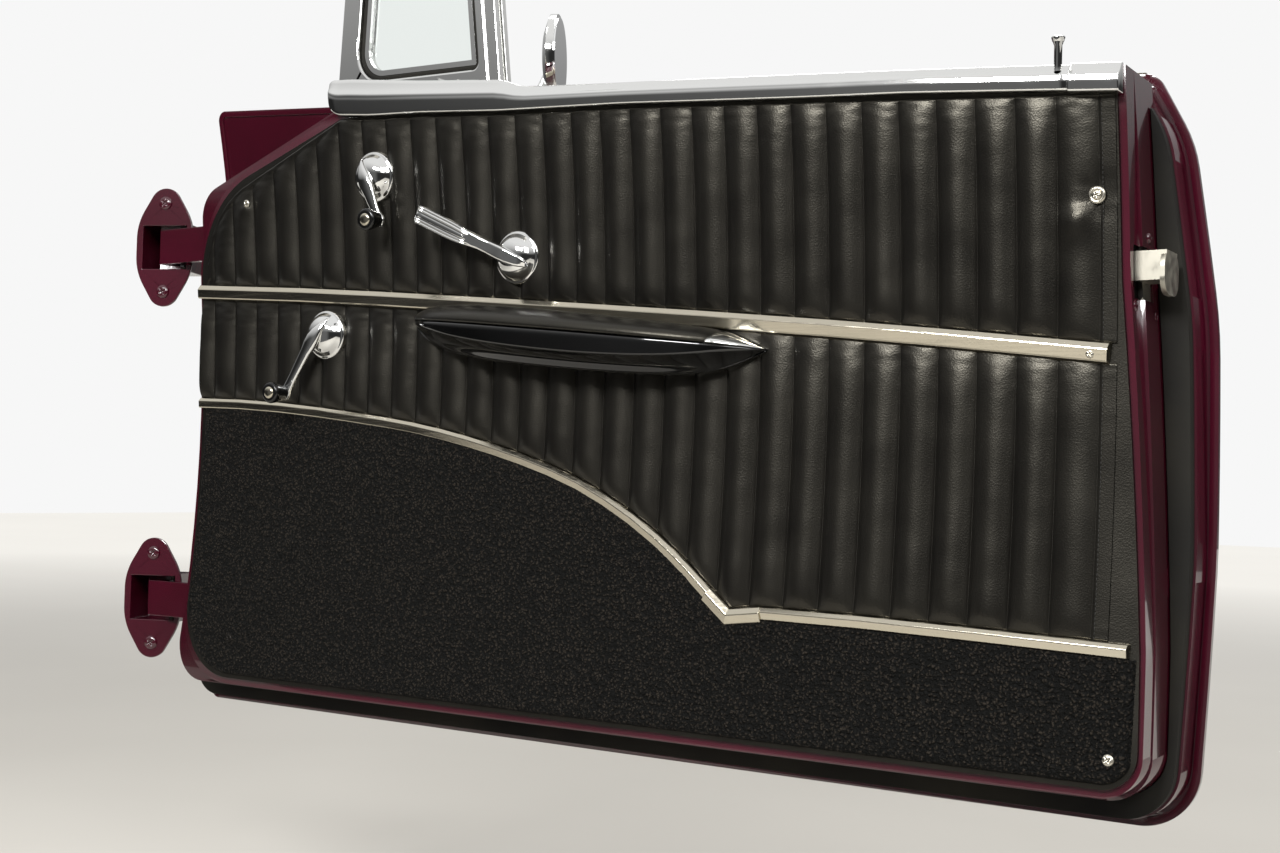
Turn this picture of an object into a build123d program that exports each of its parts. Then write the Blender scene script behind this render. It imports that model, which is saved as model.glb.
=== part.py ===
from build123d import *
import math
import os

os.makedirs("parts", exist_ok=True)

# Right-hand front door of a two-door convertible car, standing open on its two hinges.
# Millimetres. X runs along the door to its rear, Y from the cabin side to the outside, Z up.
# The hinge pin line is at x 0. The trim face is at y 0 at the middle height of the door.
# Depths are counted outwards from the trim face, along the radius of the bowed door.

PANEL_R = 1770.0        # radius of the vertical bow of the door
BOW_Z = -275.0          # height of the middle of the bow
OPEN_ANGLE = 65.0       # how far the door stands open, degrees

SKIN_DEPTH = 115.0      # outer face of the painted skin
SKIN_T = 2.0            # thickness of the skin sheet
HEM_W = 7.0             # width of the hem folded round the flange
FRAME_T = 2.0           # thickness of the pressed inner frame
TIER_1 = 5.0            # depth of the frame's trim-side face
TIER_2 = 28.0           # depth of the first step
TIER_3 = 78.0           # depth of the ledge that carries the seal
SEAL_T = 12.0           # how far the seal stands off its ledge

BOARD_T = 4.0           # trim board
PLEAT_W = 35.0          # width of one pleat
PLEAT_H = 4.0           # rise of a pleat over its seam
PLEAT_BASE = 2.0        # padding below the seams
FIRST_SEAM_X = 1150.0   # last full seam towards the rear
CARPET_T = 7.0          # carpet pile and backing

HINGE_Z = {"upper": -98.0, "lower": -531.0}
PIN_Y = 64.0            # pin line, outwards from the trim face
PIN_R = 4.0
PIN_CLEAR = 0.05        # radial running clearance of the strap's eye
PLATE_FACE = 32.0       # face of the pillar plate, ahead of the pin line
PLATE_T = 4.0
PLATE_W = 74.0
PLATE_H = 148.0
PLATE_NOSE_R = 20.0     # small radius at the plate's two ends
PLATE_SIDE_R = 70.0     # large radius of its long sides
BOLT_SPAN = 110.0
BOLT_HOLE_R = 4.5
WINDOW_IN = -41.0       # sides of the window in the plate, from the pin line
WINDOW_OUT = 16.0
WINDOW_H = 54.0
POCKET_BACK = -20.0
POCKET_WALL = 2.5
STRAP_H = 42.0
STRAP_T = 8.0
STRAP_OFFSET = 32.0     # the gooseneck's step towards the cabin
HINGE_FACE_X = 86.0     # front face of the door's frame
FOOT_T = 6.0
FOOT_W = 26.0
FOOT_H = 48.0

GLASS_Y = 30.0          # middle plane of the window glass
GLASS_T = 5.5
BAR_LEAN = -0.123       # forward lean of the division bar, x over z


def arc_y(depth, z):
    """Real y of a face at a depth, at a height."""
    return math.sqrt((PANEL_R + depth) ** 2 - (z - BOW_Z) ** 2) - PANEL_R


def shell(near, far):
    """Bowed slab between two depths, as long and as tall as the door needs."""
    low = -760.0
    high = 200.0
    face = make_face([
        ThreePointArc((arc_y(near, low), low), (near, BOW_Z), (arc_y(near, high), high)),
        Line((arc_y(near, high), high), (arc_y(far, high), high)),
        ThreePointArc((arc_y(far, high), high), (far, BOW_Z), (arc_y(far, low), low)),
        Line((arc_y(far, low), low), (arc_y(near, low), low)),
    ])
    return Pos(-20, 0, 0) * extrude(Plane.YZ * face, amount=1320)


def rounded(rows):
    """Flat outline from corner rows of x, z and corner radius."""
    count = len(rows)
    corners = []
    for i in range(count):
        here = Vector(rows[i][0], rows[i][1])
        radius = rows[i][2]
        before = Vector(rows[i - 1][0], rows[i - 1][1])
        after = Vector(rows[(i + 1) % count][0], rows[(i + 1) % count][1])
        a = (before - here).normalized()
        b = (after - here).normalized()
        half = math.acos(max(-1.0, min(1.0, a.dot(b)))) / 2
        reach = radius / math.tan(half)
        middle = here + (a + b).normalized() * (radius / math.sin(half) - radius)
        corners.append((here + a * reach, middle, here + b * reach, radius))
    edges = []
    for i in range(count):
        start, middle, end, radius = corners[i]
        if radius > 0:
            edges.append(ThreePointArc(start, middle, end))
        following = corners[(i + 1) % count][0]
        if (following - end).length > 0.001:
            edges.append(Line(end, following))
    return make_face(edges)


def prism(face, y0, y1):
    """Flat outline pushed outwards between two real y values."""
    return Pos(0, y0, 0) * extrude(Plane.XZ * face, amount=y0 - y1)


def panel(face, near, far):
    """Outline cut from the bowed slab between two depths."""
    return prism(face, near - 70, far + 20) & shell(near, far)


def seat(x, z, depth):
    """Plane on a bowed face that looks at the cabin, its own Y upwards."""
    y = arc_y(depth, z)
    normal = Vector(0, -(y + PANEL_R), BOW_Z - z).normalized()
    return Plane(origin=(x, y, z), x_dir=(1, 0, 0), z_dir=normal)


def save(shape, name):
    """Writes one named piece, moved so that the origin is on the upper pillar plate."""
    solids = shape.solids()
    print(name, len(solids), round(shape.volume / 1000, 1))
    export_step(Pos(-MOUNT_X, -MOUNT_Y, -HINGE_Z["upper"]) * shape, f"parts/{name}.step")


OPEN = math.radians(OPEN_ANGLE)
MOUNT_BACK = PLATE_FACE - PLATE_T
MOUNT_SIDE = (WINDOW_IN + WINDOW_OUT) / 2
MOUNT_X = MOUNT_BACK * math.cos(OPEN) + MOUNT_SIDE * math.sin(OPEN)
MOUNT_Y = PIN_Y - MOUNT_BACK * math.sin(OPEN) + MOUNT_SIDE * math.cos(OPEN)

# Outlines: x, z, corner radius
SKIN_ROWS = [
    (66, -650, 14),
    (38, 77, 12),
    (1202, -14, 18),
    (1232, -75, 120),
    (1251, -230, 500),
    (1253, -430, 600),
    (1247, -650, 48),
]
TIER_1_ROWS = [
    (114, -613, 88),
    (104, -55, 128),
    (350, 24, 0),
    (350, 43, 0),
    (1206, -30, 0),
    (1208, -200, 300),
    (1228, -500, 200),
    (1231, -613, 32),
]
TIER_2_ROWS = [
    (HINGE_FACE_X, -618, 50),
    (HINGE_FACE_X, -45, 40),
    (350, 43, 0),
    (1206, -30, 0),
    (1212, -200, 300),
    (1229, -500, 200),
    (1232, -618, 34),
]
TIER_3_ROWS = [
    (78, -640, 44),
    (78, -38, 44),
    (350, 43, 0),
    (1196, -24, 10),
    (1222, -75, 110),
    (1240, -230, 480),
    (1245, -430, 600),
    (1239, -640, 42),
]
TRIM_ROWS = [
    (123, -606, 85),
    (110, -62, 125),
    (349, 14, 0),
    (573, 10.3, 0),
    (1200, -44.4, 4),
    (1202, -200, 300),
    (1224, -500, 200),
    (1228, -606, 28),
]

skin_face = rounded(SKIN_ROWS)
tier_1_face = rounded(TIER_1_ROWS)
tier_2_face = rounded(TIER_2_ROWS)
tier_3_face = rounded(TIER_3_ROWS)
trim_face = rounded(TRIM_ROWS)

# Hinges: pillar plate with its pocket, pin, gooseneck strap
pocket_w = WINDOW_OUT - WINDOW_IN
plate_nose = PLATE_H / 2 + 19
plate_face = Plane.YZ * (Pos(MOUNT_SIDE, 0) * rounded([
    (0, plate_nose, PLATE_NOSE_R),
    (PLATE_W / 2, 30, PLATE_SIDE_R),
    (PLATE_W / 2, -30, PLATE_SIDE_R),
    (0, -plate_nose, PLATE_NOSE_R),
    (-PLATE_W / 2, -30, PLATE_SIDE_R),
    (-PLATE_W / 2, 30, PLATE_SIDE_R),
]))
plate = Pos(MOUNT_BACK, 0, 0) * extrude(plate_face, amount=PLATE_T)
pocket = Pos((POCKET_BACK + MOUNT_BACK) / 2, MOUNT_SIDE, 0) * Box(
    MOUNT_BACK - POCKET_BACK, pocket_w + 2 * POCKET_WALL, WINDOW_H + 2 * POCKET_WALL)
hollow = Pos((POCKET_BACK + POCKET_WALL + PLATE_FACE) / 2, MOUNT_SIDE, 0) * Box(
    PLATE_FACE - POCKET_BACK - POCKET_WALL, pocket_w, WINDOW_H)
hinge_base = plate + pocket - hollow
for side in (-1, 1):
    hinge_base -= Pos(PLATE_FACE, MOUNT_SIDE, side * BOLT_SPAN / 2) * Rot(0, 90, 0) * Cylinder(BOLT_HOLE_R, 20)
hinge_base -= Cylinder(PIN_R, WINDOW_H + 20)
hinge_pin = Cylinder(PIN_R, WINDOW_H + 2 * POCKET_WALL + 4)
hinge_pin += Pos(0, 0, WINDOW_H / 2 + POCKET_WALL + 1.5) * Cylinder(PIN_R + 2.5, 3)
strap = Cylinder(PIN_R + 7, STRAP_H)
strap += Pos(0, -STRAP_OFFSET / 2, 0) * Box(STRAP_T, STRAP_OFFSET, STRAP_H)
strap += Pos((HINGE_FACE_X - STRAP_T / 2) / 2, -STRAP_OFFSET, 0) * Box(HINGE_FACE_X + STRAP_T / 2, STRAP_T, STRAP_H)
strap += Pos(HINGE_FACE_X - FOOT_T / 2, -STRAP_OFFSET - STRAP_T / 2 + FOOT_W / 2, 0) * Box(FOOT_T, FOOT_W, FOOT_H)
strap -= Cylinder(PIN_R + PIN_CLEAR, STRAP_H + 2)
for level, z in HINGE_Z.items():
    turned = Pos(0, PIN_Y, z) * Rot(0, 0, -OPEN_ANGLE)
    save(turned * hinge_base, f"{level}_hinge_base")
    save(turned * hinge_pin, f"{level}_hinge_pin")
    save(Pos(0, PIN_Y, z) * strap, f"{level}_hinge_strap")

# Outer skin, its edge hemmed round the frame's flange
flange_face = offset(skin_face, amount=-2.5)
hem_face = offset(skin_face, amount=-HEM_W)
skin = panel(skin_face, SKIN_DEPTH - SKIN_T, SKIN_DEPTH)
skin += panel(skin_face - hem_face, SKIN_DEPTH - 3 * SKIN_T, SKIN_DEPTH - 2 * SKIN_T)
skin += panel(skin_face - flange_face, SKIN_DEPTH - 3 * SKIN_T, SKIN_DEPTH)
save(skin, "outer_skin")

# Inner frame: stepped pressing, open towards the skin, with access openings behind the trim
flange_top = SKIN_DEPTH - SKIN_T
flange_low = flange_top - FRAME_T
frame = panel(tier_1_face, TIER_1, TIER_2) + panel(tier_2_face, TIER_2, TIER_3)
frame += panel(tier_3_face, TIER_3, flange_top)
frame += panel(flange_face, flange_low, flange_top)
frame -= panel(offset(tier_1_face, amount=-FRAME_T), TIER_1 + FRAME_T, TIER_2 + FRAME_T)
frame -= panel(offset(tier_2_face, amount=-FRAME_T), TIER_2 + FRAME_T, TIER_3 + FRAME_T)
frame -= panel(offset(tier_3_face, amount=-FRAME_T), TIER_3 + FRAME_T, flange_top + 1)
# x, z of the middle, width, height
ACCESS_ROWS = [
    (420, -440, 380, 180),
    (880, -330, 360, 200),
]
for x, z, width, height in ACCESS_ROWS:
    frame -= prism(Pos(x, z) * RectangleRounded(width, height, 40), -40, 20)
SLOT_X = (525.0, 1192.0)
SLOT_Y = (18.0, 42.0)
frame -= Pos((SLOT_X[0] + SLOT_X[1]) / 2, (SLOT_Y[0] + SLOT_Y[1]) / 2, 20) * Box(
    SLOT_X[1] - SLOT_X[0], SLOT_Y[1] - SLOT_Y[0], 130)
LATCH_X = 1210.0        # rear wall of the frame at the latch
LATCH_Y = 31.0
LATCH_Z = -189.0
LATCH_W = 30.0
LATCH_H = 24.0
LATCH_GAP = 5.0
CASE_L = 18.0           # depth of the latch's case ahead of that wall
frame -= Pos(LATCH_X, LATCH_Y, LATCH_Z - LATCH_GAP) * Box(24, LATCH_W + 2 * LATCH_GAP, LATCH_H + 4 * LATCH_GAP)
save(frame, "inner_frame")

# Rubber seals on the ledge
seal_ring = offset(tier_3_face, amount=-2) - offset(tier_2_face, amount=1)
seal = panel(seal_ring, TIER_3 - SEAL_T, TIER_3)
rear_half = seal - Pos(640, 40, 60) * Box(1120, 200, 240) - Pos(40, 40, -240) * Box(170, 200, 720)
front_half = seal & Pos(193, 40, 10) * Box(206, 200, 160)
save(rear_half, "weatherstrip")
save(front_half, "front_weatherstrip")

# Trim board with holes for the three spindles
VENT_HUB = (418.0, -61.0)
WINDOW_HUB = (339.0, -224.0)
HANDLE_HUB = (611.0, -152.0)
SPINDLE_R = 6.0
board = panel(trim_face, TIER_1 - BOARD_T, TIER_1)
spindle_cut = Pos(0, 0, -30) * Cylinder(SPINDLE_R, 60)
for x, z in (VENT_HUB, WINDOW_HUB, HANDLE_HUB):
    board -= seat(x, z, -5).location * Cylinder(SPINDLE_R, 60)
save(board, "trim_board")

# Strips across the trim: the upper one is straight, the lower one falls in a curve to a joint
STRIP_SLOPE = -0.086
STRIP_H = 16.5


def strip_z(x):
    """Top edge of the upper strip."""
    return -160 + STRIP_SLOPE * (x - 114)


upper_strip_face = rounded([
    (114, strip_z(114) - STRIP_H, 0),
    (114, strip_z(114), 0),
    (1195, strip_z(1195), 0),
    (1195, strip_z(1195) - STRIP_H, 0),
])
lower_front_face = rounded([
    (116, -290, 0),
    (631, -321, 780),
    (826, -477, 0),
    (818.5, -486.4, 0),
    (626.5, -332.7, 768),
    (116, -302, 0),
])
joint_face = rounded([
    (826, -477, 0),
    (851, -494, 3),
    (880, -488.5, 0),
    (880, -500.5, 0),
    (848, -512, 5),
    (818.5, -486.4, 0),
])
lower_rear_face = rounded([
    (880, -488.5, 0),
    (1217, -498, 0),
    (1217, -510, 0),
    (880, -500.5, 0),
])
BOARD_FACE = TIER_1 - BOARD_T
STRIP_RISE = 8.0
STRIP_ROOF = 5.0        # width of the strip's narrow top face
STRIP_FALL = 3.0        # how far that face falls back towards the board


def roofed(strip):
    """Moulding with a narrow sloping face along its upper edge."""
    front = strip.faces().sort_by(SortBy.AREA)[-2:].sort_by(Axis.Y)[0]
    long_edges = front.edges().filter_by(lambda edge: edge.length > 2 * STRIP_H)
    below = Vector(0, 1, -STRIP_ROOF)
    upper = long_edges.filter_by(lambda edge: strip.solid().is_inside(edge.position_at(0.5) + below))
    return chamfer(upper, length=STRIP_ROOF, length2=STRIP_FALL, reference=front)


for name, face, rise in (
    ("upper_strip", upper_strip_face, STRIP_RISE + 1),
    ("lower_strip_front", lower_front_face, STRIP_RISE),
    ("lower_strip_rear", lower_rear_face, STRIP_RISE),
):
    save(roofed(panel(face, BOARD_FACE - rise, BOARD_FACE)), name)
save(panel(joint_face, BOARD_FACE - STRIP_RISE - 2, BOARD_FACE), "lower_strip_joint")
strip_body = panel(upper_strip_face, BOARD_FACE - STRIP_RISE - 1, BOARD_FACE)

# Pleated vinyl: one scalloped sheet swept round the bow, then cut to the two panels
PLEAT_COUNT = 30
SHEET_REAR = 1240.0
# share of the pleat's width, share of its rise
PLEAT_SHAPE = [
    (0.2, 0.75),
    (0.5, 1.0),
    (0.8, 0.75),
    (1.0, 0.0),
]
seam_y = BOARD_FACE - PLEAT_BASE
pleat_points = [(SHEET_REAR, seam_y), (FIRST_SEAM_X, seam_y)]
for k in range(PLEAT_COUNT):
    for across, rise in PLEAT_SHAPE:
        pleat_points.append((FIRST_SEAM_X - PLEAT_W * (k + across), seam_y - PLEAT_H * rise))
pleat_points.append((FIRST_SEAM_X - PLEAT_W * PLEAT_COUNT, BOARD_FACE))
pleat_points.append((SHEET_REAR, BOARD_FACE))
bow_axis = Axis((0, -PANEL_R, BOW_Z), (1, 0, 0))
pleat_profile = Pos(0, 0, BOW_Z) * make_face(Polyline(*pleat_points, close=True).edges())
pleat_sheet = revolve(pleat_profile.rotate(bow_axis, -12), axis=bow_axis, revolution_arc=24)

upper_face = rounded([
    (126, strip_z(126), 0),
    (126, -78, 105),
    (352, 2, 0),
    (573, 9, 0),
    (1198, -45, 0),
    (1199.5, -200, 0),
    (1200, strip_z(1200), 0),
])
below = rounded([
    (100, -289.037, 0),
    (631, -321, 780),
    (851, -497, 0),
    (880, -488.5, 0),
    (1240, -498.6, 0),
    (1240, -700, 0),
    (100, -700, 0),
])
middle_block = rounded([
    (117, strip_z(117) - STRIP_H, 0),
    (1206, strip_z(1206) - STRIP_H, 0),
    (1224, -499, 0),
    (1224, -530, 0),
    (117, -530, 0),
]) - below - joint_face
upper_pleats = pleat_sheet & prism(upper_face, -90, 20)
middle_pleats = pleat_sheet & prism(middle_block, -90, 20)
for x, z in (VENT_HUB, HANDLE_HUB):
    upper_pleats -= seat(x, z, -5).location * Cylinder(SPINDLE_R, 60)
middle_pleats -= seat(WINDOW_HUB[0], WINDOW_HUB[1], -5).location * Cylinder(SPINDLE_R, 60)

# Carpet below the lower strip
carpet_face = rounded([
    (129, -602, 80),
    (116, -302, 0),
    (626.5, -332.7, 768),
    (818.5, -486.4, 0),
    (848, -512, 5),
    (880, -500.5, 0),
    (1217, -510, 0),
    (1221, -510, 0),
    (1224, -602, 26),
])
save(panel(carpet_face, BOARD_FACE - CARPET_T, BOARD_FACE), "carpet_panel")

# Armrest: canoe-shaped base, pad on top, pointed bright tip. Each is cut from three outlines.
ARM_X = 478.0
ARM_TOP_Z = -212.0
ARM_TILT = 5.0
ARM_OUT = 64.0          # reach of the base from the trim face
ARM_H = 36.0            # depth of the base below the pad
PAD_T = 24.0
PAD_L = 334.0
GRIP_L = 220.0          # finger recess under the armrest
GRIP_H = 15.0
GRIP_DEPTH = 7.0
plan_base = rounded([
    (0, 14, 0),
    (4, -10, 6),
    (70, 10 - ARM_OUT, 60),
    (150, -ARM_OUT, 200),
    (290, 4 - ARM_OUT, 120),
    (345, -42, 60),
    (402, -8, 6),
    (402, 14, 0),
])
side_base = rounded([
    (14, 0, 0),
    (-ARM_OUT - 2, 0, 3),
    (-ARM_OUT - 2, -8, 6),
    (26 - ARM_OUT, 6 - ARM_H, 20),
    (-6, -ARM_H, 12),
    (14, -ARM_H, 0),
])
front_base = rounded([
    (-2, 2, 0),
    (-2, -4, 2),
    (70, -ARM_H - 1, 60),
    (320, -ARM_H - 1, 60),
    (372, -20, 30),
    (404, -4, 3),
    (404, 2, 0),
])
plan_pad = rounded([
    (2, 14, 0),
    (8, -12, 10),
    (70, 7 - ARM_OUT, 60),
    (150, -ARM_OUT - 3, 200),
    (290, 1 - ARM_OUT, 120),
    (PAD_L, -46, 12),
    (PAD_L, 14, 0),
])
side_pad = rounded([
    (14, 0, 0),
    (14, PAD_T, 0),
    (16 - ARM_OUT, PAD_T, 16),
    (-ARM_OUT - 4, 0, 4),
])
front_pad = rounded([
    (0, 0, 0),
    (6, 12, 8),
    (80, PAD_T + 1, 120),
    (PAD_L - 60, PAD_T + 1, 120),
    (PAD_L + 1, 14, 6),
    (PAD_L + 1, 0, 0),
])
plan_tip = rounded([
    (PAD_L, 14, 0),
    (PAD_L, -44, 0),
    (348, -38, 20),
    (408, -6, 5),
    (408, 14, 0),
])
front_tip = rounded([
    (PAD_L, 0, 0),
    (PAD_L, 15, 0),
    (356, 14, 20),
    (409, 3, 1),
    (409, 0, 0),
])


def three_view(plan, side, front, height):
    """Solid that has one outline from above, one from its end and one from the cabin."""
    shape = Pos(0, 0, -height) * extrude(plan, amount=2 * height)
    if side:
        shape &= Pos(-5, 0, 0) * extrude(Plane.YZ * side, amount=430)
    return shape & prism(front, -90, 30)


arm_place = Pos(ARM_X, 0, ARM_TOP_Z) * Rot(0, ARM_TILT, 0)
base = three_view(plan_base, side_base, front_base, 60)
grip_plane = Plane(origin=(185, 13 - ARM_OUT, -ARM_H / 2), x_dir=(1, 0, 0), z_dir=(0, -22, -28))
grip_face = RectangleRounded(GRIP_L, GRIP_H, GRIP_H / 2 - 0.1)
base -= extrude(grip_plane * grip_face, amount=GRIP_DEPTH, both=True)
pad = three_view(plan_pad, side_pad, front_pad, 60)
tip = three_view(plan_tip, None, front_tip, 60)
crest = shell(BOARD_FACE - PLEAT_BASE - PLEAT_H, 60)
posts = Part()
for x in (70, 290):
    posts += Pos(x, 4, -16) * Rot(90, 0, 0) * Cylinder(7, 30)
arm_base = arm_place * base - crest - strip_body
arm_posts = (arm_place * posts) - shell(BOARD_FACE, 60)
arm_base += arm_posts
save(arm_base, "armrest_base")
save(arm_place * pad - crest - strip_body, "armrest_pad")
save(arm_place * tip - crest - arm_base - strip_body, "armrest_tip")
save(upper_pleats, "upper_pleats")
save(middle_pleats - arm_posts, "middle_pleats")

# Garnish moulding along the top of the trim, and its end cap
garnish_face = rounded([
    (344, 14.1, 22),
    (344, 54, 8),
    (560, 28, 80),
    (1166, -24.5, 0),
    (1166, -41.4, 0),
    (573, 10.3, 0),
])
cap_face = rounded([
    (1166, -41.4, 0),
    (1166, -22.5, 0),
    (1200, -25.4, 6),
    (1200, -44.4, 0),
])
GARNISH_OUT = 10.0
GARNISH_BEVEL = 5.0     # bright sloping bands above and below the moulding's face
CAP_BEVEL = 3.0


def banded(moulding, bevel, keep_x):
    """Moulding with sloping bands round its face, except at the end that meets its neighbour."""
    front = moulding.faces().sort_by(lambda face: face.center().Y)[0]
    return chamfer(front.edges().filter_by(lambda edge: abs(edge.center().X - keep_x) > 1), bevel)


GARNISH_END = 1166.0
garnish = banded(panel(garnish_face, -GARNISH_OUT, TIER_1), GARNISH_BEVEL, GARNISH_END)
save(garnish, "garnish_moulding")
end_cap = banded(panel(cap_face, -GARNISH_OUT - 1.5, TIER_1), CAP_BEVEL, GARNISH_END)
save(end_cap, "garnish_end_cap")

# Lock button on the garnish: plain stem, flared head
BUTTON_X = 1145.0
# radius, height
BUTTON_ROWS = [
    (0, -60),
    (3.4, -60),
    (3.4, -5),
    (4.2, -5),
    (5.6, 1),
    (0, 1),
]
button_y = arc_y(-GARNISH_OUT / 2, BOW_Z + 250)
button = Pos(BUTTON_X, button_y, 0) * revolve(Plane.XZ * make_face(Polyline(*BUTTON_ROWS, close=True).edges()), axis=Axis.Z)
button -= garnish
save(button.solids().sort_by(Axis.Z)[-1], "lock_button")

# Vent window: frame, division bar, seal, bright pane frame, glass
vent_outer = rounded([
    (300, -45 + (300 - HINGE_FACE_X) / 3, 0),
    (322, 402, 18),
    (479, 402, 0),
    (525, 28.08, 0),
    (350, 43, 0),
])
vent_inner = rounded([
    (330, 66, 36),
    (347, 386, 16),
    (468, 386, 8),
    (508, 60, 8),
])
save(prism(vent_outer - vent_inner, GLASS_Y - 11, GLASS_Y + 11), "vent_frame")
pane_outer = offset(vent_inner, amount=-6)
pane_inner = offset(vent_inner, amount=-12)
save(prism(vent_inner - pane_outer, GLASS_Y - 7, GLASS_Y + 7), "vent_seal")
save(prism(pane_outer - pane_inner, GLASS_Y - 6, GLASS_Y + 6), "vent_pane_frame")
save(prism(pane_inner, GLASS_Y - 2.5, GLASS_Y + 2.5), "vent_glass")
pivot = Pos(454, GLASS_Y - 15, 50) * Rot(90, 0, 0) * Cylinder(6, 8)
pivot += Pos(462, GLASS_Y - 13.5, 48) * Box(44, 5, 5)
save(pivot, "vent_pivot")


def bar_x(z):
    """Front side of the division bar."""
    return 525 + BAR_LEAN * (z - 28.08)


BAR_W = 14.0
BAR_LOW = -540.0
GROOVE = 8.0


def lean_face(x_offset, width, low, high):
    """Leaning upright band, parallel to the division bar."""
    return make_face(Polyline(
        (bar_x(low) + x_offset, low),
        (bar_x(high) + x_offset, high),
        (bar_x(high) + x_offset + width, high),
        (bar_x(low) + x_offset + width, low),
        close=True,
    ).edges())


inner_side = shell(TIER_1 + FRAME_T - 60, TIER_1 + FRAME_T)
bar = prism(lean_face(0, BAR_W, BAR_LOW, 402), GLASS_Y - 10, GLASS_Y + 10)
bar += Pos(bar_x(-520) + BAR_W / 2, 5, -520) * Box(BAR_W, 40, 24) - inner_side
bar -= prism(lean_face(BAR_W - GROOVE, GROOVE + 1, BAR_LOW - 1, 403), GLASS_Y - GLASS_T / 2, GLASS_Y + GLASS_T / 2)
save(bar, "division_bar")
RUN_GAP = 1.0           # between the rear channel and the latch's case
case_h = LATCH_H + 8 * LATCH_GAP
case_low = LATCH_Z - LATCH_GAP - case_h / 2
rear_run = LATCH_X - CASE_L - RUN_GAP - BAR_W - bar_x(case_low)
run = prism(lean_face(rear_run, BAR_W, -420, -64), GLASS_Y - 8, GLASS_Y + 8)
for z in (-110, -390):
    run += Pos(bar_x(z) + rear_run + BAR_W / 2, 5, z) * Box(BAR_W, 40, 20) - inner_side
run -= prism(lean_face(rear_run - 1, GROOVE + 1, -421, -63), GLASS_Y - GLASS_T / 2, GLASS_Y + GLASS_T / 2)
save(run, "rear_run_channel")
glass = prism(lean_face(BAR_W - 6, rear_run - BAR_W + 12, -400, 0), GLASS_Y - GLASS_T / 2, GLASS_Y + GLASS_T / 2)
glass -= Pos(880, GLASS_Y, 60) * Rot(0, 4.9, 0) * Box(900, 20, 180)
save(glass, "door_glass")

# Latch: its case seats inside the rear wall, its body reaches out through the opening to a round claw
CLAW_R = 20.0
CLAW_T = 4.0
CLAW_H = 36.0
LATCH_END = 1233.0
inside = panel(offset(tier_1_face, amount=-FRAME_T), TIER_1 + FRAME_T, TIER_2 + FRAME_T)
inside += panel(offset(tier_2_face, amount=-FRAME_T), TIER_2 + FRAME_T, TIER_3)
case_w = LATCH_W + 4 * LATCH_GAP
case_box = Box(CASE_L + 6, case_w, case_h, align=(Align.MIN, Align.CENTER, Align.CENTER))
latch = inside & (Pos(LATCH_X - CASE_L, LATCH_Y, LATCH_Z - LATCH_GAP) * case_box)
body_l = LATCH_END - LATCH_X + CASE_L - 2
latch += Pos(LATCH_END - body_l / 2, LATCH_Y, LATCH_Z) * Box(body_l, LATCH_W, LATCH_H)
claw_face = Pos(LATCH_Y, LATCH_Z + (LATCH_H - CLAW_H) / 2) * RectangleRounded(2 * CLAW_R, CLAW_H, 14)
latch += Pos(LATCH_END - CLAW_T, 0, 0) * extrude(Plane.YZ * claw_face, amount=CLAW_T)
save(latch, "latch")

# Bright strips outside
belt_face = rounded([
    (352, 40, 2),
    (352, 55, 2),
    (1192, -10.7, 2),
    (1192, -25.7, 2),
])
side_face = rounded([
    (60, -342, 4),
    (60, -322, 4),
    (1246, -322, 4),
    (1246, -342, 4),
])
save(panel(belt_face, SKIN_DEPTH, SKIN_DEPTH + 6), "outer_belt_moulding")
save(panel(side_face, SKIN_DEPTH, SKIN_DEPTH + 7), "side_moulding")

# Outer pull handle with a push button
HANDLE_X = 1120.0
HANDLE_Z = -120.0
HANDLE_OUT = 34.0       # how far the pull stands off the skin
HANDLE_W = 18.0
BUTTON_R = 7.0
body_shell = shell(0, SKIN_DEPTH)
pull_face = rounded([
    (-78, -20, 0),
    (-78, HANDLE_OUT, 18),
    (78, HANDLE_OUT, 14),
    (78, -20, 0),
    (54, -20, 0),
    (54, HANDLE_OUT - 10, 6),
    (-58, HANDLE_OUT - 10, 12),
    (-64, -20, 0),
])
pull = Pos(HANDLE_X, arc_y(SKIN_DEPTH, HANDLE_Z), HANDLE_Z - HANDLE_W / 2) * extrude(pull_face, amount=HANDLE_W)
save(pull - body_shell, "outer_handle")
button_place = Pos(HANDLE_X + 60, arc_y(SKIN_DEPTH, HANDLE_Z) + HANDLE_OUT + 4, HANDLE_Z)
save(button_place * Rot(90, 0, 0) * Cylinder(BUTTON_R, 8), "outer_button")

# Door mirror: foot and stalk, round head, glass
MIRROR_X = 480.0
MIRROR_Z = 3.0
MIRROR_R = 50.0
HEAD_TURN = 28.0        # head turned outwards, degrees
mirror_place = Pos(MIRROR_X, arc_y(SKIN_DEPTH, MIRROR_Z), MIRROR_Z)
stalk = Pos(0, 5.6, 0) * Rot(90, 0, 0) * Cylinder(22, 16)
stalk += Pos(0, 23.6, 0) * Rot(90, 0, 0) * Cylinder(9, 30)
stalk += Pos(7, 47.6, 43) * Rot(-24, 10, 0) * Cylinder(6.5, 100)
head_place = Pos(20, 65.6, 101) * Rot(0, 0, HEAD_TURN) * Rot(0, 90, 0)
head = head_place * (Pos(0, 0, 3) * Cylinder(MIRROR_R, 8) + Pos(0, 0, -4) * Cone(MIRROR_R - 16, MIRROR_R, 6))
save(mirror_place * (stalk - head) - body_shell, "mirror_arm")
save(mirror_place * head, "mirror_head")
save(mirror_place * head_place * Pos(0, 0, 8) * Cylinder(MIRROR_R - 4, 2), "mirror_glass")


# radius, height over the pleats
HUB_ROWS = [
    (0, 0),
    (27, 0),
    (27, 3),
    (21, 9),
    (12, 14.6),
    (9, 15.4),
    (9, 22),
    (0, 22),
]


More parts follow.
